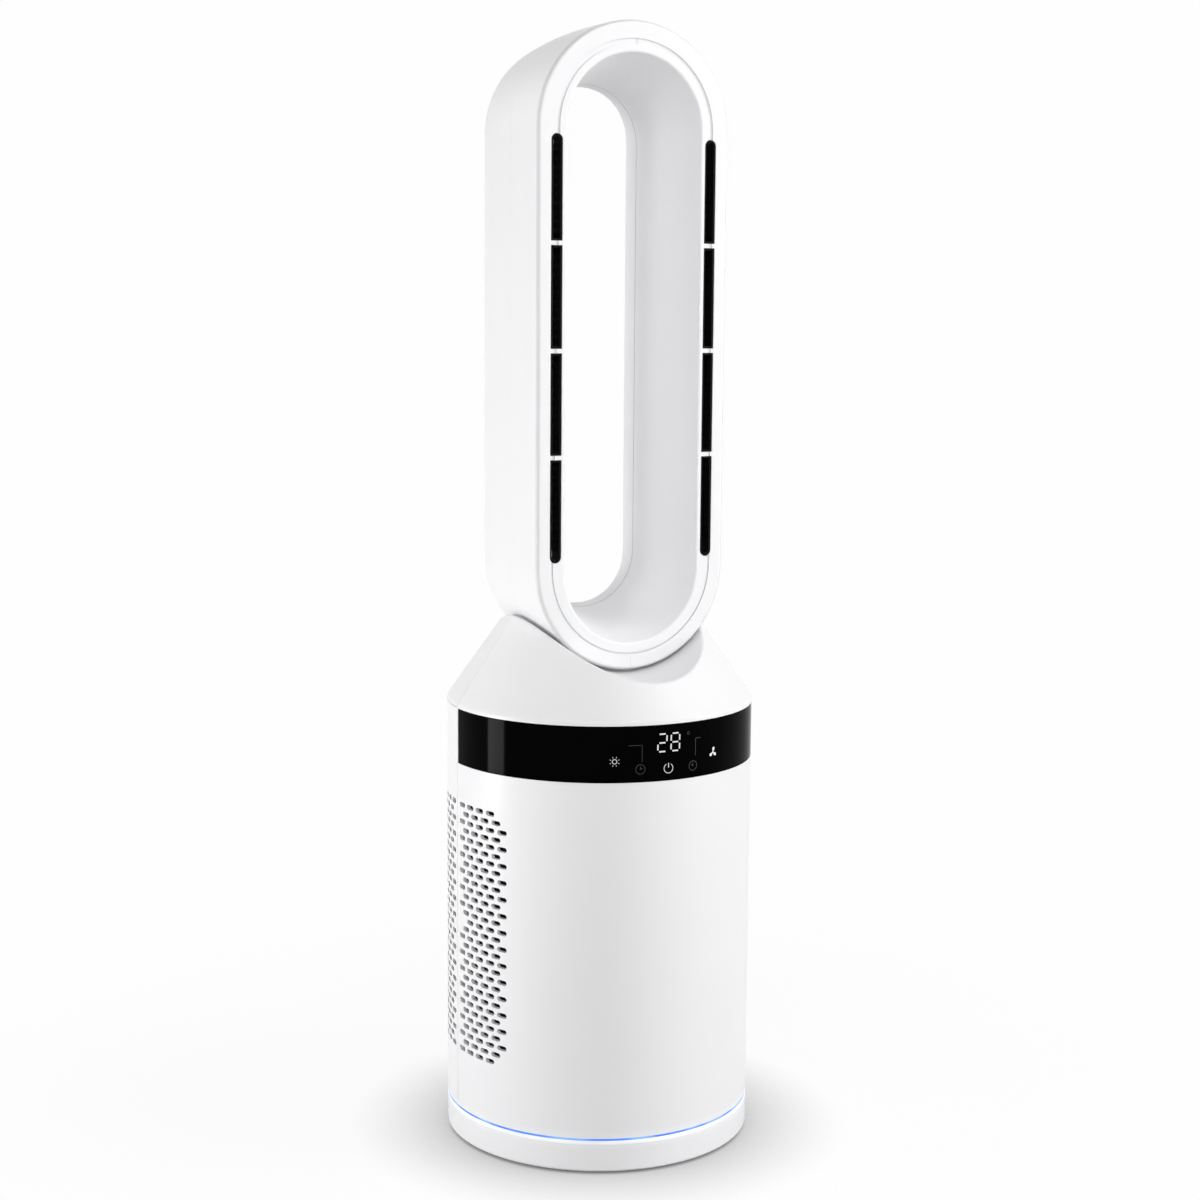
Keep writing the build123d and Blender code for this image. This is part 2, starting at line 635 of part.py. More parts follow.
with BuildPart() as pleated_filter:
    start = filter_open + frame_strip + fit
    step = radians((360 - 2 * start) / (2 * pleats))

    def fold(index, inward):
        radius = (pleat_in if index % 2 else pleat_out) - inward
        turn = radians(start - 90) + index * step
        return radius * cos(turn), radius * sin(turn)

    outside = [fold(k, 0) for k in range(2 * pleats + 1)]
    inside = [fold(k, pleat_t) for k in range(2 * pleats, -1, -1)]
    with BuildSketch(Plane.XY.offset(media_low)):
        with BuildLine():
            Polyline(*outside, *inside, close=True)
        make_face()
    extrude(amount=media_high - media_low)
save(pleated_filter, "pleated_filter")

with BuildPart() as carbon_filter:
    c_ring(carbon_in, carbon_in + carbon_t, media_low, media_high, inset=frame_strip + fit)
save(carbon_filter, "carbon_filter")


# ---------------------------------------------------------------- blower
def crescent(r_in, r_out, sweep, thick):
    """Plan of one curved blade, thick at its root and swept round by an angle."""
    def spot(radius, turn):
        return radius * cos(radians(turn)), radius * sin(radians(turn))

    mid = (r_in + r_out) / 2
    front = [(r_in, 0), (mid, sweep * 0.4), (r_out, sweep)]
    back = [(radius, turn + thick * 57.3 / radius) for radius, turn in reversed(front)]
    with BuildSketch() as made:
        with BuildLine():
            ThreePointArc(*[spot(*p) for p in front])
            Line(spot(*front[-1]), spot(*back[0]))
            ThreePointArc(*[spot(*p) for p in back])
            Line(spot(*back[-1]), spot(*front[0]))
        make_face()
    return made.sketch


def hung(outline):
    """An outline of (radius, height) points whose heights are from the ceiling's underside."""
    return [(radius, ceiling_z + height) for radius, height in outline]


with BuildPart() as impeller_housing:
    # the throat round the impeller, the diffuser round the motor, and the cone up to the loop's neck
    waist_r, skin = 50.0, shell_wall
    turned(hung([
        (eye_r, eye_low), (eye_r, eye_high), (duct_r, diffuser_low), (duct_r, 5), (waist_r, bucket_high),
        (neck_r, duct_high - 4), (neck_r, duct_high), (neck_r + skin, duct_high),
        (neck_r + skin, duct_high - 3), (waist_r + skin, bucket_high + 1), (duct_r + skin, 6),
        (duct_r + skin, diffuser_low - 0.5), (eye_r + skin, eye_high - 0.5), (eye_r + skin, eye_low),
    ]))
    flange_z = shelf_t + isolator_t
    turned(hung(block(duct_r + 1, flange_r, flange_z, flange_z + flange_t)))
save(impeller_housing, "impeller_housing")

with BuildPart() as inlet_bellmouth:
    lip_out, lip_in, skin = eye_r + 15.5, eye_r + 13.5, 2.5
    turned(hung([
        (lip_in, bell_low), (lip_out, bell_low), (lip_out, bell_low + 2), (eye_r + 7, bell_low + 6.5),
        (eye_r + skin, bell_low + 15), (eye_r + skin, eye_low), (eye_r, eye_low), (eye_r, bell_low + 14.5),
        (eye_r + 4.5, bell_low + 4.5),
    ]))
save(inlet_bellmouth, "inlet_bellmouth")

with BuildPart() as inlet_guard:
    with BuildSketch(Plane.XY.offset(ceiling_z + bell_low - guard_t)):
        for radius in guard_radii:
            Circle(radius + guard_wire / 2)
            Circle(radius - guard_wire / 2, mode=Mode.SUBTRACT)
        with PolarLocations((guard_radii[0] + guard_radii[-1]) / 2, guard_spokes):
            Rectangle(guard_radii[-1] - guard_radii[0] + 1, guard_wire)
    extrude(amount=guard_t)
save(inlet_guard, "inlet_guard")

with BuildPart() as impeller:
    tip_r, blade_t, blade_sweep, back_t = eye_r - tip_gap, 1.8, 48, 2.0
    with BuildSketch(Plane.XY.offset(ceiling_z + impeller_low + back_t)):
        with PolarLocations(0, blades):
            add(crescent(hub_nose_r - 2, duct_r + 1, blade_sweep, blade_t))
    extrude(amount=impeller_high - impeller_low - back_t)
    turned(hung([
        (0, impeller_low), (tip_r, impeller_low), (tip_r, eye_high),
        (tip_r + duct_slope * (impeller_high - eye_high), impeller_high), (0, impeller_high),
    ]), mode=Mode.INTERSECT)
    turned(hung([(0, impeller_low), (hub_nose_r, impeller_low), (hub_nose_r + 3, impeller_low + 8),
                 (hub_tail_r, impeller_high), (0, impeller_high)]))
    turned(hung(block(0, shaft_r + press, impeller_low - 1, impeller_high + 1)), mode=Mode.SUBTRACT)
save(impeller, "impeller")

with BuildPart() as impeller_nut:
    with BuildSketch(Plane.XY.offset(ceiling_z + impeller_low - nut_h)):
        RegularPolygon(nut_r, 6)
        Circle(shaft_r + press, mode=Mode.SUBTRACT)
    extrude(amount=nut_h)
save(impeller_nut, "impeller_nut")

with BuildPart() as motor_shaft:
    turned(hung(block(0, shaft_r, shaft_low, shaft_high)))
save(motor_shaft, "motor_shaft")

with BuildPart() as motor_rotor:
    turned(hung(block(shaft_r + press, stator_bore - magnet_gap, stator_low + 1, stator_high - 1)))
save(motor_rotor, "motor_rotor")

coil_spots = PolarLocations(coil_ring, coil_count)
plug_r = bucket_r - bucket_wall - fit / 2  # what seats inside the motor's bucket

with BuildPart() as motor_stator:
    turned(hung(block(stator_bore, plug_r, stator_low, stator_high)))
    discs(coil_r + fit, coil_spots, ceiling_z + stator_low, stator_high - stator_low, Mode.SUBTRACT)
save(motor_stator, "motor_stator")

with BuildPart() as stator_coils:
    coil_round = 1.2
    discs(coil_r, coil_spots, ceiling_z + stator_low - coil_end, stator_high - stator_low + 2 * coil_end)
    fillet(stator_coils.edges().filter_by(GeomType.CIRCLE), coil_round)
save(stator_coils, "stator_coils")

with BuildPart() as motor_bearings:
    for low in bearing_lows:
        turned(hung(block(shaft_r + shaft_clear, bearing_r, low, low + bearing_t)))
save(motor_bearings, "motor_bearings")

with BuildPart() as motor_bucket:
    # a cup for the motor, with the lower bearing's seat in its floor and the diffuser vanes round it
    cup_r, seat_low = bucket_r - bucket_wall, bearing_lows[0]
    seat_high = seat_low + bearing_t + 1
    turned(hung([
        (shaft_r + 1, diffuser_low), (bucket_r, diffuser_low), (bucket_r, bucket_high), (cup_r, bucket_high),
        (cup_r, seat_low), (bearing_tube_r, seat_low), (bearing_tube_r, seat_high), (bearing_seat, seat_high),
        (bearing_seat, seat_low), (shaft_r + 1, seat_low),
    ]))
    with BuildSketch(Plane.XY.offset(ceiling_z + diffuser_low + vane_low)):
        with PolarLocations(0, vanes):
            add(crescent(bucket_r - 1, duct_r - fit, -14, 2.0))
    extrude(amount=vane_h)
save(motor_bucket, "motor_bucket")

with BuildPart() as motor_cap:
    # a domed lid on the cup, with the upper bearing's seat hanging from it
    tube_low, tube_top = bearing_lows[1] - 1, bearing_lows[1] + bearing_t + 5
    turned(hung([
        (bearing_seat, tube_low), (bearing_tube_r, tube_low), (bearing_tube_r, cap_high - 7),
        (bearing_tube_r + 9, cap_high - 9.5), (plug_r - 2, bucket_high), (plug_r - 2, bucket_high - 5),
        (plug_r, bucket_high - 5), (plug_r, bucket_high), (bucket_r, bucket_high),
        (bucket_r - 3, cap_high - 8), (bucket_r - 12, cap_high - 3), (bucket_r - 21, cap_high - 0.6),
        (0, cap_high), (0, tube_top), (bearing_seat, tube_top),
    ]))
save(motor_cap, "motor_cap")

with BuildPart() as duct_seals:
    # the soft ring that the blower hangs on, and the gasket under the loop's neck
    turned(hung(block(duct_r + shell_wall + ceiling_gap + 1, flange_r, shelf_t, shelf_t + isolator_t)))
    turned(hung(block(neck_r, neck_r + shell_wall, duct_high, duct_high + gasket_t)))
save(duct_seals, "duct_seals")


# ---------------------------------------------------------------- air loop
def loop_section(plane, inset):
    """Section of the loop before its opening is cut, X from its arc centre and Y its depth."""
    front, back = loop_front + inset, loop_back - inset
    wide, tail, nose_r = loop_r - inset, loop_r - tail_in - inset, loop_r - nose_in
    edge_y = throat_y - inset * sqrt(1 + nose_lean**2) / nose_lean  # the nose's inner side, moved in squarely
    run = throat_r - core_r
    tail_run = (-2 * tail_in, tail_y - taper_y)
    turn = 1 - sqrt(0.5)
    with BuildSketch(plane) as made:
        with BuildLine():
            Polyline((core_r, edge_y - run / nose_lean), (core_r, front), (wide - edge_round, front))
            ThreePointArc((wide - edge_round, front), (wide - edge_round * turn, front + edge_round * turn),
                          (wide, front + edge_round))
            Line((wide, front + edge_round), (wide, taper_y))
            TangentArc((wide, taper_y), (tail, tail_y), tangent=(0, 1))
            Spline((tail, tail_y), (nose_r, back), tangents=(tail_run, (-1, 0)))
            Spline((nose_r, back), (throat_r, edge_y), tangents=((-1, 0), (-nose_lean, -1)))
            Line((throat_r, edge_y), (core_r, edge_y - run / nose_lean))
        make_face()
    return made.sketch


def slotted(radius, low, high, y):
    """A level-sided slot shape in the plane at a depth, about two centre heights."""
    with BuildSketch(Plane.XZ.offset(-y)) as made:
        with BuildLine():
            Line((radius, low), (radius, high))
            ThreePointArc((radius, high), (0, high + radius), (-radius, high))
            Line((-radius, high), (-radius, low))
            ThreePointArc((-radius, low), (0, low - radius), (radius, low))
        make_face()
    return made.sketch


def tunnel(inset=0.0):
    """The opening through the loop, from before its front edge to behind its rear edge."""
    depth = throat_y - loop_front
    ends = []
    for share in (-tunnel_over / depth, 1 + tunnel_over / depth):
        radius = mouth_r + share * (throat_r - mouth_r) + inset
        low = loop_low - mouth_drop + share * (mouth_drop + throat_foot_in)
        high = loop_high - share * throat_top_in
        ends.append(slotted(radius, low, high, loop_front + share * depth))
    return loft(ends, ruled=True, mode=Mode.PRIVATE)


def loop_body(inset=0.0):
    """The whole loop as a solid: two half turns and two straight legs, less the opening."""
    loop_mid = (loop_low + loop_high) / 2
    with BuildPart() as made:
        high, low = Plane.XY.offset(loop_high), Plane.XY.offset(loop_low)
        revolve(loop_section(high, inset), Axis((0, 0, loop_high), (0, -1, 0)), 180)
        revolve(loop_section(low, inset), Axis((0, 0, loop_low), (0, 1, 0)), 180)
        leg = extrude(loop_section(low, inset), amount=loop_leg, mode=Mode.PRIVATE)
        add(leg)
        mirror(leg, about=Plane.YZ)
        add(tunnel(inset), mode=Mode.SUBTRACT)
        if not inset:
            front_edges = made.edges().filter_by(lambda e: abs(e.center().Y - loop_front) < 0.01)
            lip = front_edges.filter_by(lambda e: abs(e.center().X) < mouth_r + 1)
            fillet(lip.filter_by(lambda e: abs(e.center().Z - loop_mid) < loop_leg / 2 + mouth_r + 5), lip_round)
    return made.part


def stadium(r_high, r_low, front, back):
    """A block bounded by two arcs about the loop's centres and their tangents, between two depths."""
    with BuildPart() as made:
        with BuildSketch(Plane.XZ.offset(-front)):
            with BuildLine():
                CenterArc((0, loop_high), r_high, 0, 360)
                CenterArc((0, loop_low), r_low, 0, 360)
            make_hull()
        extrude(amount=front - back)
    return made.part


def slot_column(x, shrink, front, back, barred):
    """One column of outlet slots as a block between two depths, with or without the bars across it."""
    with BuildPart() as made:
        with BuildSketch(Plane.XZ.offset(-front)) as outline:
            with Locations((x, (slot_low + slot_high) / 2)):
                SlotOverall(slot_high - slot_low - 2 * shrink, slot_w - 2 * shrink, rotation=90)
            if barred:
                for low, high in bars:
                    with Locations((x, (low + high) / 2)):
                        Rectangle(slot_w, high - low + 2 * shrink, mode=Mode.SUBTRACT)
                edges = [z for low, high in bars for z in (low - shrink, high + shrink)]
                corners = outline.vertices().filter_by(lambda v: any(abs(v.Z - z) < 0.01 for z in edges))
                fillet(corners, bar_corner - min(shrink, 0.6))
        extrude(amount=front - back)
    return made.part


loop_outer, loop_inner = loop_body(), loop_body(shell_wall)
mid_r = (loop_r + throat_r) / 2 + 4  # parts the outer wall from the wall of the opening
deep = 20.0  # past both faces
slot_back = loop_front + 11.9

with BuildPart() as loop_shell:
    add(loop_outer)
    add(loop_inner, mode=Mode.SUBTRACT)
    with BuildSketch(Plane.XY.offset(loop_low - loop_r - deep)):
        Circle(neck_r)
    extrude(amount=deep + 14, mode=Mode.SUBTRACT)

with BuildPart() as loop_front_shell:
    add(loop_shell.part)
    add(stadium(mid_r, mid_r, tunnel_seam, loop_back + deep), mode=Mode.SUBTRACT)
    outside = stadium(loop_r + deep, loop_r + deep, outer_seam, loop_back + deep)
    add(outside - stadium(mid_r, mid_r, outer_seam - 1, loop_back + deep + 1), mode=Mode.SUBTRACT)
    groove = stadium(groove_high[1], groove_low[1], loop_front - 1, loop_front + groove_depth)
    add(groove - stadium(groove_high[0], groove_low[0], loop_front - 2, loop_front + 2), mode=Mode.SUBTRACT)
    for side in (-1, 1):
        add(slot_column(side * slot_x, 0, loop_front - 1, slot_back, True), mode=Mode.SUBTRACT)
        add(slot_column(side * slot_x, 0, loop_front + shell_wall, slot_back, False), mode=Mode.SUBTRACT)
save(loop_front_shell, "loop_front_shell")

with BuildPart() as loop_rear_shell:
    add(loop_shell.part)
    add(stadium(loop_r + deep, loop_r + deep, loop_front - deep, outer_seam + seam), mode=Mode.SUBTRACT)
    add(stadium(mid_r, mid_r, outer_seam - 1, tunnel_seam + seam), mode=Mode.SUBTRACT)
save(loop_rear_shell, "loop_rear_shell")

with BuildPart() as loop_neck:
    turned(block(neck_r, neck_r + shell_wall, duct_top + gasket_t, loop_low - loop_r + 16))
    add(loop_outer, mode=Mode.SUBTRACT)
save(loop_neck, "loop_neck")

grille_face, grille_lip, grille_fit = loop_front + 0.6, 1.3, 0.15
for name, side in (("left", -1), ("right", 1)):
    x = side * slot_x
    with BuildPart() as outlet_grille:
        bar_back = loop_front + shell_wall + fit
        add(slot_column(x, grille_fit, grille_face, bar_back, True))
        add(slot_column(x, grille_fit, bar_back, slot_back, False))
        add(slot_column(x, grille_fit + grille_lip, grille_face - 1, slot_back + 1, True), mode=Mode.SUBTRACT)
    save(outlet_grille, f"{name}_outlet_grille")

fin_count = int((heater_high - heater_low) / fin_pitch)

for name, side in (("left", -1), ("right", 1)):
    with BuildPart() as heater:
        with BuildSketch(Plane.XZ.offset(-heater_y - heater_d / 2)):
            with Locations((side * heater_x, (heater_low + heater_high) / 2)):
                Rectangle(core_w, heater_high - heater_low)
                with GridLocations(0, fin_pitch, 1, fin_count):
                    Rectangle(heater_w, fin_t)
        extrude(amount=heater_d)
    save(heater, f"{name}_heater")

with BuildPart() as heater_brackets:
    with Locations((0, heater_y, heater_low - bracket_t / 2), (0, heater_y, heater_high + bracket_t / 2)):
        with GridLocations(2 * (heater_x + fit), 0, 2, 1):
            Box(heater_w + 1, heater_d + 3, bracket_t)
save(heater_brackets, "heater_brackets")

with BuildPart() as thermal_cutouts:
    with BuildSketch(Plane.XZ.offset(-heater_y - cutout_t / 2)):
        with Locations((0, heater_high + bracket_t + cutout_r)):
            with GridLocations(2 * heater_x, 0, 2, 1):
                Circle(cutout_r)
    extrude(amount=cutout_t)
save(thermal_cutouts, "thermal_cutouts")
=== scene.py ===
"""Looks of a tower-shaped bladeless fan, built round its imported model. Metres, in the model's own frame."""

from math import cos, hypot, pi, radians, sin

import bpy
from mathutils import Matrix, Vector


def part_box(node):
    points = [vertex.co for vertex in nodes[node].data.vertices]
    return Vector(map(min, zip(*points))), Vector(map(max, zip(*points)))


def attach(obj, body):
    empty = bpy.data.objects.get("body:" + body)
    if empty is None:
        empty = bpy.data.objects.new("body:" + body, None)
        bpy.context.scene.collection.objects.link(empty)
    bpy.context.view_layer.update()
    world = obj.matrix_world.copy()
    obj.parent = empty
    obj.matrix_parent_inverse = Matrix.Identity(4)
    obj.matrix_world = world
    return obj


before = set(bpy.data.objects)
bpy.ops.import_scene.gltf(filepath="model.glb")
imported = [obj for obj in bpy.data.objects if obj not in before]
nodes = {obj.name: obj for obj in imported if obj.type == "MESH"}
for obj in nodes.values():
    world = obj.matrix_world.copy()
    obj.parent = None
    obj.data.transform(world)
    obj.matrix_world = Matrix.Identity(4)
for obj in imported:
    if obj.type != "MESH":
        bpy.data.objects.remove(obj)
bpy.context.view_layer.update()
mm = 0.001

# ---------------------------------------------------------------- places read from the frame
lens_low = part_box("control_lens")[0]
lens_r, band_z = -lens_low.y, lens_low.z
ring_low, ring_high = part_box("light_ring")
ring_leg = 4.3 * mm  # how far the ring's leg hangs inside the base's outer wall
base_top = ring_low.z + ring_leg
loop_low, loop_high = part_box("loop_front_shell")
loop_face, loop_mid = loop_low.y, (loop_low.z + loop_high.z) / 2
loop_leg = loop_high.z - loop_low.z - (loop_high.x - loop_low.x)  # its straight part


# ---------------------------------------------------------------- shader expressions
class Wire:
    """An output socket. Arithmetic on it adds Math nodes to its tree."""

    def __init__(self, tree, socket):
        self.tree, self.socket = tree, socket

    def math(self, operation, *others):
        """This value in a Math node, with the others after it."""
        return add(self.tree, "ShaderNodeMath", {"operation": operation}, dict(enumerate((self, *others))))

    def __add__(self, other):
        return self.math("ADD", other)

    def __sub__(self, other):
        return self.math("SUBTRACT", other)

    def __rsub__(self, other):
        return add(self.tree, "ShaderNodeMath", {"operation": "SUBTRACT"}, {0: other, 1: self})

    def __mul__(self, other):
        return self.math("MULTIPLY", other)

    __radd__, __rmul__ = __add__, __mul__

    def ramp(self, low, high):
        """0 below one value, 1 above another, and smooth between."""
        settings = {"interpolation_type": "SMOOTHSTEP"}
        return add(self.tree, "ShaderNodeMapRange", settings, {0: self, 1: low, 2: high})

    def between(self, low, high, soft):
        """1 between two values, fading out over a soft edge."""
        return self.ramp(low - soft, low) * (1 - self.ramp(high, high + soft))


def add(tree, kind, settings=None, inputs=None, output=0):
    """Add any node: its settings first, then the values or links of its sockets."""
    node = tree.nodes.new(kind)
    for name, value in (settings or {}).items():
        if name == "stops":
            ramp = node.color_ramp.elements
            while len(ramp) < len(value):
                ramp.new(0.5)
            for stop, (place, colour) in zip(ramp, value):
                stop.position, stop.color = place, (*colour, 1)
        else:
            setattr(node, name, value)
    for name, value in (inputs or {}).items():
        socket = node.inputs[name]
        if isinstance(value, Wire):
            tree.links.new(value.socket, socket)
        elif socket.type == "RGBA":
            socket.default_value = (*value, 1)
        else:
            socket.default_value = value
    return Wire(tree, node.outputs[output]) if node.outputs else None


class Finish:
    """One material: its coordinates, its textures and its surface."""

    def __init__(self, name):
        self.material = bpy.data.materials.new(name)
        self.material.use_nodes = True
        self.tree = self.material.node_tree
        self.tree.nodes.clear()
        self.place = self.add("ShaderNodeTexCoord", output=3)

    def add(self, kind, settings=None, inputs=None, output=0):
        return add(self.tree, kind, settings, inputs, output)

    def axis(self, index):
        """One coordinate of the place, in metres: 0, 1 or 2 for x, y or z."""
        return self.add("ShaderNodeSeparateXYZ", inputs={0: self.place}, output=index)

    def scaled(self, x, y, z):
        """The place stretched along each axis, for a texture that runs one way."""
        return self.add("ShaderNodeVectorMath", {"operation": "MULTIPLY"}, {0: self.place, 1: (x, y, z)})

    def noise(self, size, detail=2.0, rough=0.5, place=None):
        """Noise whose features are about this many metres across."""
        inputs = {"Vector": place or self.place, "Scale": 1 / size, "Detail": detail, "Roughness": rough}
        return self.add("ShaderNodeTexNoise", inputs=inputs)

    def cells(self, size, feature="F1"):
        """Cells about this many metres across, as the distance from their middles or from their edges."""
        inputs = {"Vector": self.place, "Scale": 1 / size}
        return self.add("ShaderNodeTexVoronoi", {"feature": feature}, inputs)

    def bump(self, height, depth):
        """A normal from a height of 0 to 1 that stands for this many metres."""
        return self.add("ShaderNodeBump", inputs={"Height": height, "Distance": depth})

    def mix(self, factor, first, second):
        """A colour between two colours."""
        return self.add("ShaderNodeMix", {"data_type": "RGBA"}, {0: factor, 6: first, 7: second}, 2)

    def surface(self, **sockets):
        """Finish the material with a principled surface. Underscores stand for spaces."""
        inputs = {name.replace("_", " "): value for name, value in sockets.items()}
        shader = self.add("ShaderNodeBsdfPrincipled", inputs=inputs)
        self.add("ShaderNodeOutputMaterial", inputs={"Surface": shader})
        return self.material


# ---------------------------------------------------------------- finishes
def ring_spill(f, lit_from, lit_to, strength):
    """The ring's uneven light painted on the plastic beside it as a glow, from none at one height to all at
    another.
    """
    low, high = sorted((lit_from, lit_to))
    reach = f.axis(2).ramp(low, high)
    if lit_to < lit_from:
        reach = 1 - reach
    lamp = f.noise(34 * mm, 1).ramp(0.3, 0.6)
    return reach * (lamp * 0.5 + 0.5) * strength


# the loop's lines and its painted shade: radii from the middle line of its opening, places along y, and how
# dark each is; the darkness in the groove and along the front edge is painted shade
throat_r, groove_in, groove_out, edge_in, edge_out = 50 * mm, 55.8 * mm, 62.4 * mm, 70.7 * mm, 71.5 * mm
seam_front, seam_back = 28.85 * mm, 29.25 * mm
# painted shade for the groove and the front edge, darkness for the seam and the two joints
seam_dark, groove_shade, edge_shade, top_dark, foot_dark = 0.6, 0.45, 0.27, 0.16, 0.2
line_and_shade_grey = (0.25, 0.25, 0.26)


def loop_lines_and_shade(f):
    """How much darker the loop is at its lines and its painted shade: the throat's seam, painted shade in the
    groove in its face and along its front edge, and two short joints, one in the groove at the top and one
    outside it at the bottom."""
    x, y, z = (f.axis(k) for k in range(3))
    past_leg = (z - loop_mid).math("ABSOLUTE") - loop_leg / 2
    bend_z = past_leg.math("MAXIMUM", 0.0)
    r = (x * x + bend_z * bend_z).math("SQRT")
    depth = y - loop_face
    on_face = 1 - depth.ramp(1.2 * mm, 1.6 * mm)
    above, below = z.ramp(loop_mid, loop_mid + 1 * mm), 1 - z.ramp(loop_mid - 1 * mm, loop_mid)

    in_throat = 1 - r.ramp(throat_r, throat_r + 1 * mm)
    seam = in_throat * y.between(seam_front, seam_back, 0.2 * mm)
    # painted shade: the inside of the groove drawn darker
    groove = r.between(groove_in, groove_out, 0.2 * mm) * depth.between(0.2 * mm, 0.8 * mm, 0.1 * mm)
    # painted shade: a darker band along the outer edge of the face
    front_edge = r.ramp(edge_in, edge_out) * (1 - depth.ramp(2 * mm, 3.5 * mm))
    top_joint = above * r.between(56.5 * mm, 60.3 * mm, 0.1 * mm) * x.between(0.2 * mm, 1.9 * mm, 0.2 * mm)
    foot_joint = below * r.ramp(63.5 * mm, 64 * mm) * x.between(-0.1 * mm, 0.1 * mm, 0.25 * mm)
    joints = (top_joint * top_dark + foot_joint * foot_dark) * on_face
    return seam * seam_dark + groove * groove_shade + front_edge * edge_shade + joints


def white_moulding(name, tone=(0.87, 0.87, 0.88), rough=0.32, spills=(), lines_and_shade=None):
    """Satin white moulded plastic: a faint orange peel, a little cloudiness in colour and in gloss.
    Spills are the ring's light, painted on it as a glow, and the last argument gives where it is darker, at
    lines and at painted shade."""
    f = Finish(name)
    cloud = f.noise(60 * mm, 3)
    peel = f.noise(1.6 * mm, 2)
    colour = f.mix(cloud, tuple(c * 0.985 for c in tone), tone)
    # darker at the lines, and at painted shade
    if lines_and_shade:
        colour = f.mix(lines_and_shade(f), colour, line_and_shade_grey)
    glow = {}
    # the ring's light painted on as a glow
    if spills:
        total = sum((ring_spill(f, *spill) for spill in spills[1:]), ring_spill(f, *spills[0]))
        glow = {"Emission_Color": f.mix(total, (0, 0, 0), (0.80, 0.90, 1.0)), "Emission_Strength": 1.0}
    return f.surface(
        Base_Color=colour, Roughness=cloud * 0.06 + (rough - 0.03), Normal=f.bump(peel, 0.012 * mm),
        Specular_IOR_Level=0.22, **glow,
    )


def black_lens():
    """Deep black glossy acrylic with the faintest smears."""
    f = Finish("black_lens")
    smear = f.noise(25 * mm, 4, 0.6, f.scaled(1, 1, 0.35))
    return f.surface(
        Base_Color=f.mix(smear, (0.0004, 0.0004, 0.0005), (0.001, 0.001, 0.0012)),
        Roughness=smear * 0.06 + 0.05, Specular_IOR_Level=0.012,
    )


def black_grille():
    """Black moulded plastic, softly shiny on its lip."""
    f = Finish("black_grille")
    grain = f.noise(0.7 * mm, 3)
    return f.surface(
        Base_Color=f.mix(grain, (0.002, 0.002, 0.002), (0.005, 0.005, 0.005)), Roughness=grain * 0.15 + 0.3,
        Normal=f.bump(grain, 0.01 * mm), Specular_IOR_Level=0.08,
    )


def blue_light():
    """Frosted diffuser, lit blue from inside, a little stronger in front of each lamp."""
    f = Finish("blue_light")
    lamp = f.noise(26 * mm, 1)
    colour = f.mix(lamp.ramp(0.4, 0.65), (0.04, 0.20, 0.85), (0.25, 0.50, 1.0))
    frost = f.noise(0.8 * mm, 2)
    return f.surface(
        Base_Color=(0.05, 0.08, 0.3), Roughness=frost * 0.2 + 0.35, Normal=f.bump(frost, 0.01 * mm),
        Emission_Color=colour, Emission_Strength=0.9,
    )


def dark_moulding():
    """Charcoal structural plastic with a spark-eroded grain."""
    f = Finish("dark_moulding")
    spark = f.noise(0.5 * mm, 4, 0.65)
    flow = f.noise(35 * mm, 3, 0.5, f.scaled(1, 1, 0.3))
    return f.surface(
        Base_Color=f.mix(flow, (0.045, 0.046, 0.05), (0.07, 0.071, 0.075)), Roughness=spark * 0.2 + 0.5,
        Normal=f.bump(spark, 0.03 * mm),
    )


def natural_acetal():
    """Milky smooth gear and bearing plastic."""
    f = Finish("natural_acetal")
    milk = f.noise(12 * mm, 3)
    tool = f.noise(0.6 * mm, 2, 0.5, f.scaled(1, 1, 6))
    return f.surface(
        Base_Color=f.mix(milk, (0.74, 0.73, 0.70), (0.82, 0.81, 0.79)), Roughness=tool * 0.15 + 0.28,
        Normal=f.bump(tool, 0.008 * mm),
    )


def soft_rubber():
    """Matte black rubber with a dusty bloom."""
    f = Finish("soft_rubber")
    bloom = f.noise(3 * mm, 4, 0.6)
    pore = f.noise(0.4 * mm, 2)
    return f.surface(
        Base_Color=f.mix(bloom, (0.018, 0.018, 0.018), (0.05, 0.05, 0.05)), Roughness=bloom * 0.15 + 0.75,
        Normal=f.bump(pore, 0.03 * mm),
    )


def plated_steel():
    """Zinc-plated steel, turned or drawn, with fine marks and cloudy plating."""
    f = Finish("plated_steel")
    drawn = f.noise(0.5 * mm, 3, 0.6, f.scaled(1, 1, 0.06))
    cloud = f.noise(5 * mm, 3)
    return f.surface(
        Base_Color=f.mix(cloud, (0.50, 0.50, 0.52), (0.62, 0.62, 0.62)), Roughness=drawn * 0.2 + 0.24,
        Metallic=1.0, Normal=f.bump(drawn, 0.006 * mm),
    )


def copper_winding():
    """Enamelled copper wire wound close, one turn on the next."""
    f = Finish("copper_winding")
    turn = f.add("ShaderNodeTexWave", {"bands_direction": "Z"},
                 {"Vector": f.place, "Scale": 1 / (3.2 * mm), "Distortion": 0.6})
    return f.surface(
        Base_Color=f.mix(turn, (0.30, 0.10, 0.03), (0.72, 0.33, 0.14)), Roughness=turn * -0.1 + 0.4,
        Metallic=0.85, Normal=f.bump(turn, 0.12 * mm),
    )


def mill_aluminium():
    """Rolled aluminium with the mill's lines."""
    f = Finish("mill_aluminium")
    rolled = f.noise(0.4 * mm, 3, 0.6, f.scaled(0.08, 1, 1))
    return f.surface(
        Base_Color=f.mix(rolled, (0.66, 0.67, 0.69), (0.80, 0.80, 0.81)), Roughness=rolled * 0.2 + 0.3,
        Metallic=1.0, Normal=f.bump(rolled, 0.006 * mm),
    )


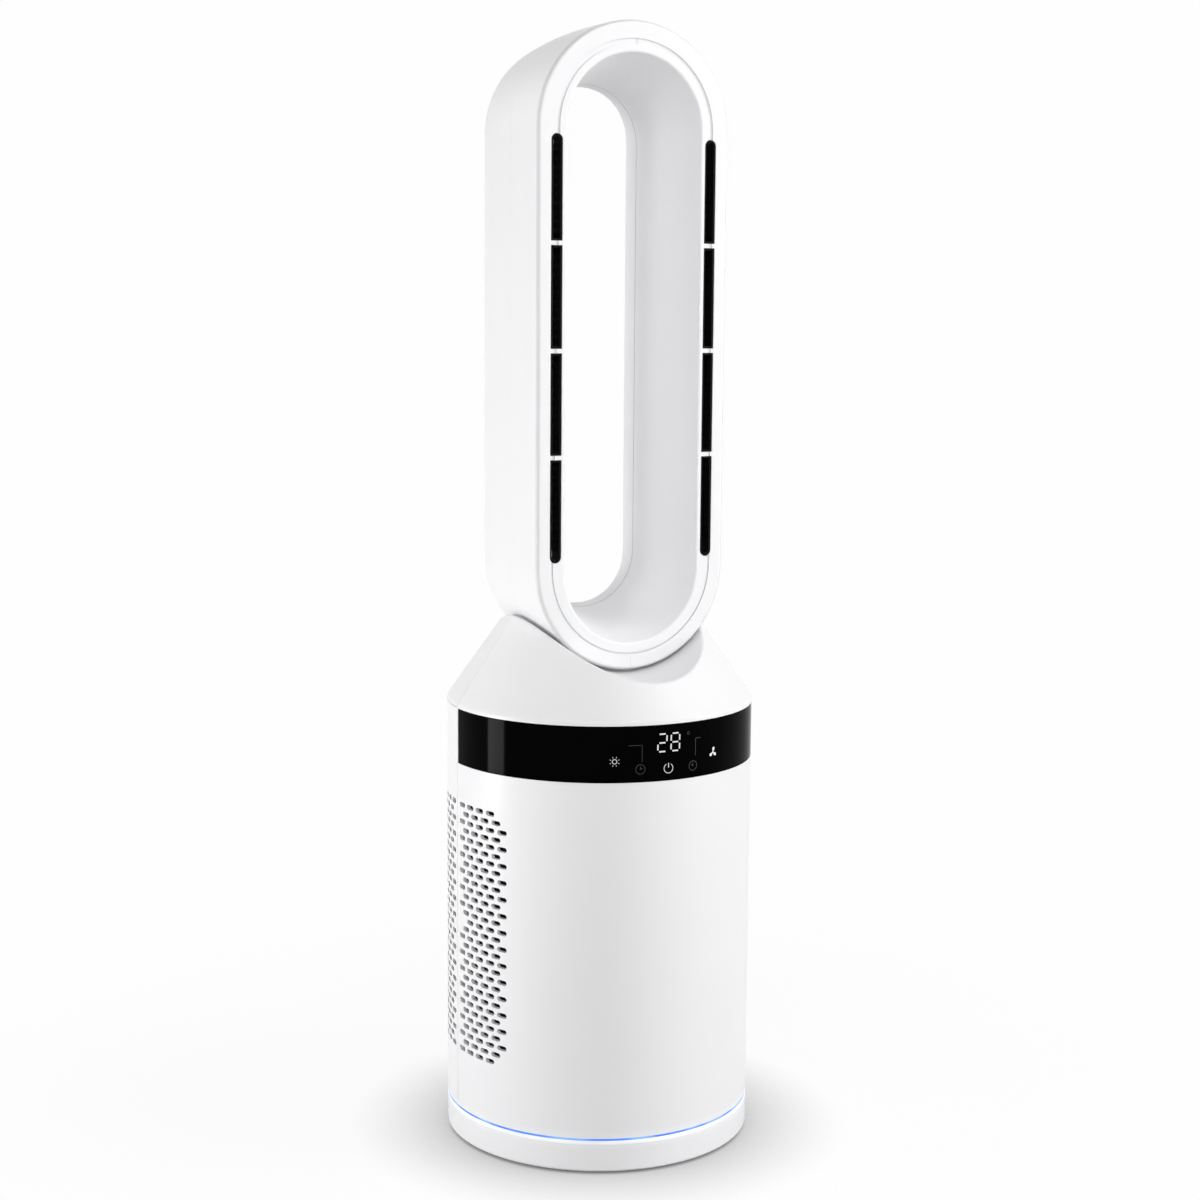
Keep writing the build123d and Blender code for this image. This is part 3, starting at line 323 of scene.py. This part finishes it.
def circuit_board():
    """Green solder mask over copper tracks."""
    f = Finish("circuit_board")
    copper = f.cells(5 * mm, "DISTANCE_TO_EDGE").ramp(0.06, 0.1)
    pad = 1 - f.cells(6.5 * mm).ramp(0.10, 0.14)
    mask = f.mix(copper, (0.012, 0.075, 0.03), (0.02, 0.13, 0.05))
    return f.surface(
        Base_Color=f.mix(pad, mask, (0.55, 0.55, 0.52)), Roughness=copper * 0.1 + 0.3, Metallic=pad * 0.8,
        Normal=f.bump(copper, 0.03 * mm),
    )


def component_case():
    """Moulded cases of electronic parts: some near black, some amber, some grey."""
    f = Finish("component_case")
    kind = f.cells(16 * mm)
    stops = [
        (0.0, (0.02, 0.02, 0.022)), (0.45, (0.03, 0.03, 0.035)),
        (0.6, (0.42, 0.34, 0.12)), (1.0, (0.2, 0.2, 0.22)),
    ]
    tint = f.add("ShaderNodeValToRGB", {"stops": stops}, {0: kind})
    grain = f.noise(0.5 * mm, 3)
    return f.surface(Base_Color=tint, Roughness=grain * 0.2 + 0.4, Normal=f.bump(grain, 0.02 * mm))


def warm_ceramic():
    """Heat-resistant off-white moulding, slightly gritty."""
    f = Finish("warm_ceramic")
    grit = f.noise(0.6 * mm, 4, 0.7)
    return f.surface(
        Base_Color=f.mix(grit, (0.66, 0.62, 0.54), (0.80, 0.77, 0.70)), Roughness=grit * 0.2 + 0.55,
        Normal=f.bump(grit, 0.04 * mm),
    )


def filter_fibre():
    """Fibre sheet loaded with carbon: short tangled hairs, charcoal."""
    f = Finish("filter_fibre")
    hair = f.noise(0.5 * mm, 5, 0.75, f.scaled(1, 1, 0.3))
    cloud = f.noise(14 * mm, 3)
    return f.surface(
        Base_Color=f.mix(hair * 0.6 + cloud * 0.4, (0.015, 0.015, 0.016), (0.05, 0.05, 0.052)),
        Roughness=0.95, Normal=f.bump(hair, 0.12 * mm), Sheen_Weight=0.2,
    )


def carbon_foam():
    """Open-cell foam loaded with carbon."""
    f = Finish("carbon_foam")
    cell = f.cells(1.4 * mm)
    return f.surface(
        Base_Color=f.mix(cell, (0.004, 0.004, 0.004), (0.045, 0.045, 0.047)), Roughness=0.9,
        Normal=f.bump(cell, 0.5 * mm),
    )


def lit_mark(name, colour, strength):
    """A backlit legend in the lens, a little uneven where its lamp sits."""
    f = Finish(name)
    lamp = f.noise(4 * mm, 1)
    dim = tuple(c * 0.88 for c in colour)
    return f.surface(
        Base_Color=(0.02, 0.02, 0.02), Roughness=lamp * 0.1 + 0.2, Emission_Color=f.mix(lamp, dim, colour),
        Emission_Strength=strength, Specular_IOR_Level=0.2,
    )


tower_gap = 0.4 * mm  # between the ring and the tower above it
tower_low = ring_high.z + tower_gap
# a painted glow of the ring's light: the height where it starts, the height where it is full, and its
# strength
tower_glow = [(tower_low + 6 * mm, tower_low, 0.05)]
base_glow = [(base_top - 3.2 * mm, base_top - 1.4 * mm, 0.34), (base_top - 8 * mm, base_top, 0.06)]
shell_white = white_moulding("shell_white", spills=tower_glow)
# the loop's white is darker at its seam and joints, and has painted shade in its groove and along its front
# edge
loop_white = white_moulding("loop_white", (0.90, 0.90, 0.91), 0.30, lines_and_shade=loop_lines_and_shade)
finish_of = {
    shell_white: ["front_housing", "rear_cover"],
    white_moulding("shoulder_white"): ["rear_shoulder"],
    loop_white: ["loop_front_shell", "loop_rear_shell", "loop_neck"],
    white_moulding("base_white", spills=base_glow): ["base_shell"],
    black_lens(): ["control_lens"],
    black_grille(): ["left_outlet_grille", "right_outlet_grille"],
    blue_light(): ["light_ring"],
    dark_moulding(): [
        "base_plate", "turntable", "intake_floor", "intake_ceiling", "chassis_rails", "deck_posts",
        "impeller_housing", "inlet_bellmouth", "inlet_guard", "motor_bucket", "motor_cap", "cord_gland",
        "filter_frame",
    ],
    natural_acetal(): ["ball_cage", "drive_pinion", "sun_gear", "pivot_retainer", "impeller"],
    soft_rubber(): ["rubber_feet", "duct_seals"],
    plated_steel(): [
        "ballast_plate", "base_screws", "retainer_screws", "deck_screws", "lower_race", "upper_race",
        "bearing_balls", "motor_output_shaft", "motor_shaft", "impeller_nut", "motor_bearings",
        "oscillation_motor", "motor_stator", "motor_rotor", "touch_springs", "thermal_cutouts",
    ],
    copper_winding(): ["stator_coils"],
    mill_aluminium(): ["heat_sink", "left_heater", "right_heater"],
    circuit_board(): ["light_ring_board", "main_board", "display_board"],
    component_case(): ["board_components", "display_module", "ring_leds"],
    warm_ceramic(): ["heater_brackets"],
    filter_fibre(): ["pleated_filter"],
    carbon_foam(): ["carbon_filter"],
}
for material, names in finish_of.items():
    for name in names:
        nodes[name].data.materials.clear()
        nodes[name].data.materials.append(material)


# ---------------------------------------------------------------- marks in the lens
mark_lift, mark_sink = 0.05 * mm, 0.03 * mm  # a legend's top over the lens, and its underside in it
mitre_limit = 0.4  # the least that a corner's mitre divides a stroke's width by
straight_points, straight_steps = 5, 6  # a stroke of fewer points is divided, to follow the lens round


def on_lens(azimuth, height, point, lift):
    """A point of a flat drawing, in millimetres, laid on the lens about an azimuth and a height."""
    turn = radians(azimuth) + point[0] * mm / lens_r
    r = lens_r + lift
    return r * sin(turn), -r * cos(turn), height + point[1] * mm


def ribbon(points, width, closed=False):
    """The two edges of a stroke of even width through flat points, as pairs."""
    pairs, count = [], len(points)
    for i, (x, y) in enumerate(points):
        before = points[i - 1] if i or closed else points[i]
        after = points[(i + 1) % count] if i < count - 1 or closed else points[i]
        runs = [(q[0] - p[0], q[1] - p[1]) for p, q in ((before, (x, y)), ((x, y), after))]
        units = [(a / hypot(a, b), b / hypot(a, b)) for a, b in runs if hypot(a, b) > 0]
        tx, ty = sum(u[0] for u in units), sum(u[1] for u in units)
        size = hypot(tx, ty)
        half = width / 2 / max(mitre_limit, size / len(units))  # a mitre's edge stands out further
        across, along = ty / size * half, tx / size * half
        pairs.append(((x - across, y + along), (x + across, y - along)))
    return pairs


def arc(radius, start=0.0, end=360.0, steps=28):
    """Flat points along a circle, in degrees from the right, anticlockwise. A whole circle isn't closed."""
    count = steps if end - start >= 360 else steps + 1
    turns = [radians(start + (end - start) * k / steps) for k in range(count)]
    return [(radius * cos(turn), radius * sin(turn)) for turn in turns]


class Legend:
    """A thin printed legend built up from strokes and filled shapes, and wrapped round the lens.
    Its place is an azimuth, in degrees to the right, and millimetres above the lens's lower edge."""

    def __init__(self, azimuth, rise):
        self.azimuth, self.height = azimuth, band_z + rise * mm
        self.vertices, self.faces = [], []

    def layer(self, point):
        """Vertices of a point on top of the legend and under it."""
        start = len(self.vertices)
        for lift in (mark_lift, -mark_sink):
            self.vertices.append(on_lens(self.azimuth, self.height, point, lift))
        return start

    def stroke(self, points, width, closed=False):
        """A stroke of even width along flat points."""
        if len(points) < straight_points:
            steps = [k / straight_steps for k in range(straight_steps)]
            runs = zip(points, points[1:])
            divided = [(p[0] + (q[0] - p[0]) * t, p[1] + (q[1] - p[1]) * t) for p, q in runs for t in steps]
            points = divided + [points[-1]]
        rows = [(self.layer(a), self.layer(b)) for a, b in ribbon(points, width, closed)]
        for (a, b), (c, d) in zip(rows, rows[1:] + rows[:1] if closed else rows[1:]):
            self.faces += [(a, b, d, c), (a + 1, c + 1, d + 1, b + 1)]
            self.faces += [(a, c, c + 1, a + 1), (b, b + 1, d + 1, d)]
        if not closed:
            (a, b), (c, d) = rows[0], rows[-1]
            self.faces += [(a, a + 1, b + 1, b), (c, d, d + 1, c + 1)]
        return self

    def fill(self, outline):
        """A filled shape whose outline goes anticlockwise."""
        rows = [self.layer(p) for p in outline]
        self.faces += [tuple(reversed(rows)), tuple(r + 1 for r in rows)]
        self.faces += [(a, b, b + 1, a + 1) for a, b in zip(rows, rows[1:] + rows[:1])]

    def piece(self, name, material):
        """Make the legend a piece of the tower."""
        mesh = bpy.data.meshes.new(name)
        mesh.from_pydata(self.vertices, [], self.faces)
        mesh.materials.append(material)
        made = bpy.data.objects.new(name, mesh)
        bpy.context.scene.collection.objects.link(made)
        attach(made, "tower")


digit_w, digit_h, digit_pitch = 6.6, 12.1, 9.9  # millimetres, as all sizes of the legends
bar_w, bar_gap, slant = 1.0, 0.55, 0.015  # a figure's bars, and how far it leans for each millimetre up
bars_of = {"2": "abged", "8": "abcdefg"}


def figure(legend, number, middle):
    """One figure of seven bars: a on top, b to f clockwise, g across the middle."""
    w, h, inset = digit_w / 2, digit_h / 2, bar_gap + bar_w / 2
    bars = {
        "a": ((-w + inset, h), (w - inset, h)), "g": ((-w + inset, 0), (w - inset, 0)),
        "d": ((-w + inset, -h), (w - inset, -h)),
        "b": ((w, h - inset), (w, inset)), "c": ((w, -inset), (w, -h + inset)),
        "f": ((-w, h - inset), (-w, inset)), "e": ((-w, -inset), (-w, -h + inset)),
    }
    for name in bars_of[number]:
        legend.stroke([(middle + x + slant * y, y) for x, y in bars[name]], bar_w)


white_mark = lit_mark("white_mark", (0.92, 0.94, 0.96), 0.85)
bright_mark = lit_mark("bright_mark", (1.0, 1.0, 1.0), 0.95)
soft_mark = lit_mark("soft_mark", (0.80, 0.82, 0.84), 0.85)
dim_mark = lit_mark("dim_mark", (0.10, 0.10, 0.11), 0.20)

figures = Legend(-0.8, 26.4)
figure(figures, "2", -digit_pitch / 2)
figure(figures, "8", digit_pitch / 2)
figures.piece("display_figures", white_mark)

power = Legend(-0.9, 8.5)
power.stroke(arc(3.35, 122, 418, 30), 0.42).stroke([(0, 0.4), (0, 3.7)], 0.5)
power.piece("power_mark", white_mark)

rays, ray_from, ray_to = 8, 2.65, 3.5
sun = Legend(-20.9, 14.8)
sun.stroke(arc(1.55), 0.42, True)
for k in range(rays):
    turn = 2 * pi * (k + 0.5) / rays
    sun.stroke([(r * cos(turn), r * sin(turn)) for r in (ray_from, ray_to)], 0.38)
sun.piece("sun_mark", soft_mark)

blade_root, blade_tip, blade_w, blade_steps = 0.3, 3.9, 2.1, 8


def blade(turn):
    """The outline of a drop-shaped blade from the hub outwards, widest past its middle."""
    run, parts = blade_tip - blade_root, [k / blade_steps for k in range(blade_steps + 1)]
    side = [(blade_root + run * t, blade_w / 2 * sin(pi * t ** 1.5) ** 0.7) for t in parts]
    outline = [(x, -y) for x, y in side] + side[-2:0:-1]
    return [(x * cos(turn) - y * sin(turn), x * sin(turn) + y * cos(turn)) for x, y in outline]


fan = Legend(19.2, 15.2)
fan.fill(arc(0.7, steps=14))
for turn in (78, 214, 325):
    fan.fill(blade(radians(turn)))
fan.piece("fan_mark", bright_mark)

for side, azimuth, rise, hand in (("left", -11.6, 9.0, 1), ("right", 9.4, 8.3, -1)):
    clock = Legend(azimuth, rise)
    clock.stroke(arc(3.3), 0.4, True).stroke([(0, 2.0), (0, 0), (hand * 1.5, 0.7)], 0.45)
    clock.piece(f"{side}_clock_mark", dim_mark)

brackets = (("left", -11.0, 25.6, -9.6, 11.6), ("right", 10.5, 27.2, 4.2, 12.0))
for side, azimuth, rise, run, drop in brackets:
    bracket = Legend(azimuth, rise)
    bracket.stroke([(run, 0), (0, 0), (0, -drop)], 0.35)
    bracket.piece(f"{side}_bracket_mark", dim_mark)

degree = Legend(7.2, 31.5)
degree.stroke(arc(1.0, steps=18), 0.3, True)
degree.piece("degree_mark", dim_mark)


# ---------------------------------------------------------------- floor, light and camera
white = 0.99  # the backdrop, as the camera sees it
ambient = 0.25  # the backdrop, as it lights the object
floor_r, floor_steps = 4.0, 96
floor_seen, floor_lighting = 0.9, 0.75  # the floor's grey as it is seen, and as it lights the object
shadow_near, shadow_far = 0.20, 0.60  # the floor keeps its shadow inside, and is plain backdrop outside
contact_reach, contact_left = 0.078, 0.1  # how far the base darkens the floor, and the light left beneath it
lamp_share, lamp_level = 0.12, 0.76  # the part of the floor's brightness that the lamps give, and their level
own_level = (white - lamp_share * lamp_level) / (1 - lamp_share)


def seen(tree):
    """1 for the camera's rays and for what gloss and glass show, 0 for the rays that light things."""
    camera_ray, gloss_ray, glass_ray = (add(tree, "ShaderNodeLightPath", output=k) for k in (0, 3, 6))
    return camera_ray.math("MAXIMUM", gloss_ray.math("MAXIMUM", glass_ray))


def studio_floor():
    """Pale floor: it takes the object's shadow near the object and runs out into the backdrop."""
    f = Finish("studio_floor")

    def glow(strength):
        return f.add("ShaderNodeEmission", inputs={"Color": (1.0, 1.0, 1.0), "Strength": strength})

    def mixed(factor, first, second):
        return f.add("ShaderNodeMixShader", inputs={0: factor, 1: first, 2: second})

    grain = f.bump(f.noise(2 * mm, 3), 0.01 * mm)
    matte = f.add("ShaderNodeBsdfDiffuse", inputs={"Color": (floor_seen,) * 3, "Normal": grain})
    bare = f.add("ShaderNodeBsdfDiffuse", inputs={"Color": (floor_lighting,) * 3})
    openness = f.add("ShaderNodeAmbientOcclusion", {"samples": 12}, {"Distance": contact_reach}, 1)
    own_light = mixed(openness * (1 - contact_left) + contact_left, glow(0.0), glow(own_level))
    x, y = f.axis(0), f.axis(1)
    away = (x * x + y * y).math("SQRT").ramp(shadow_near, shadow_far)
    shown = mixed(away, mixed(lamp_share, own_light, matte), glow(white))
    f.add("ShaderNodeOutputMaterial", inputs={"Surface": mixed(seen(f.tree), bare, shown)})
    return f.material


floor_mesh = bpy.data.meshes.new("floor")
floor_turns = [2 * pi * k / floor_steps for k in range(floor_steps)]
floor_rim = [(floor_r * cos(turn), floor_r * sin(turn), 0) for turn in floor_turns]
floor_mesh.from_pydata(floor_rim, [], [tuple(range(floor_steps))])
floor_mesh.materials.append(studio_floor())
floor = bpy.data.objects.new("floor", floor_mesh)
bpy.context.scene.collection.objects.link(floor)

world = bpy.data.worlds.new("studio")
bpy.context.scene.world = world
world.use_nodes = True
sky = world.node_tree
sky.nodes.clear()
sky_strength = seen(sky) * (white - ambient) + ambient
backdrop = add(sky, "ShaderNodeBackground", inputs={"Color": (1.0, 1.0, 1.0), "Strength": sky_strength})
add(sky, "ShaderNodeOutputWorld", inputs={"Surface": backdrop})

camera_azimuth = radians(26.41)  # the camera looks along +Y turned this far towards +X
camera_tilt, camera_roll = radians(7.76), radians(0.41)  # down, and anticlockwise
camera_place = Vector((-0.6824, -1.3739, 0.5965))
lens_mm, sensor_mm = 64.5, 36.0

level_ahead = Vector((sin(camera_azimuth), cos(camera_azimuth), 0))
forward = level_ahead * cos(camera_tilt) - Vector((0, 0, sin(camera_tilt)))
level_right = Vector((cos(camera_azimuth), -sin(camera_azimuth), 0))
level_up = level_right.cross(forward)
right = level_right * cos(camera_roll) + level_up * sin(camera_roll)
up = right.cross(forward)
camera_data = bpy.data.cameras.new("camera")
camera_data.lens, camera_data.sensor_width, camera_data.sensor_height = lens_mm, sensor_mm, sensor_mm
camera_data.sensor_fit = "AUTO"
camera_data.clip_start, camera_data.clip_end = 0.05, 50
camera = bpy.data.objects.new("camera", camera_data)
camera.matrix_world = Matrix.Translation(camera_place) @ Matrix((right, up, -forward)).transposed().to_4x4()
bpy.context.scene.collection.objects.link(camera)
bpy.context.scene.camera = camera


def softbox(name, turn, distance, height, aim, width, tall, power, beam):
    """A large soft lamp, this many degrees round the fan from the camera, to the camera's right."""
    azimuth = camera_azimuth - radians(turn)
    place = Vector((-sin(azimuth) * distance, -cos(azimuth) * distance, height))
    data = bpy.data.lights.new(name, "AREA")
    data.shape, data.size, data.size_y, data.energy = "RECTANGLE", width, tall, power
    data.spread = radians(beam)
    lamp = bpy.data.objects.new(name, data)
    lamp.location = place
    lamp.rotation_euler = (Vector((0, 0, aim)) - place).to_track_quat("-Z", "Y").to_euler()
    bpy.context.scene.collection.objects.link(lamp)


# name, turn, distance, height, height aimed at, width, height of its face, watts, beam
softboxes = [
    ("low_left_softbox", -80, 1.3, 0.12, 0.15, 0.35, 0.5, 11.0, 180),
    ("right_softbox", 78, 1.7, 0.75, 0.40, 0.8, 1.5, 14.5, 180),
    ("left_rim_softbox", -128, 1.5, 1.20, 0.40, 0.5, 0.7, 0.8, 180),
    ("high_right_softbox", 82, 1.0, 1.60, 0.40, 0.6, 0.6, 5.6, 180),
    ("high_back_softbox", 180, 0.9, 1.90, 0.40, 0.9, 0.6, 1.5, 180),
    ("loop_softbox", -29, 1.5, 1.00, 0.57, 0.4, 0.8, 0.26, 40),
    ("front_softbox", 6, 2.0, 1.30, 0.40, 1.4, 1.2, 13.5, 180),
]
for row in softboxes:
    softbox(*row)

bpy.context.scene.view_settings.view_transform = "Standard"
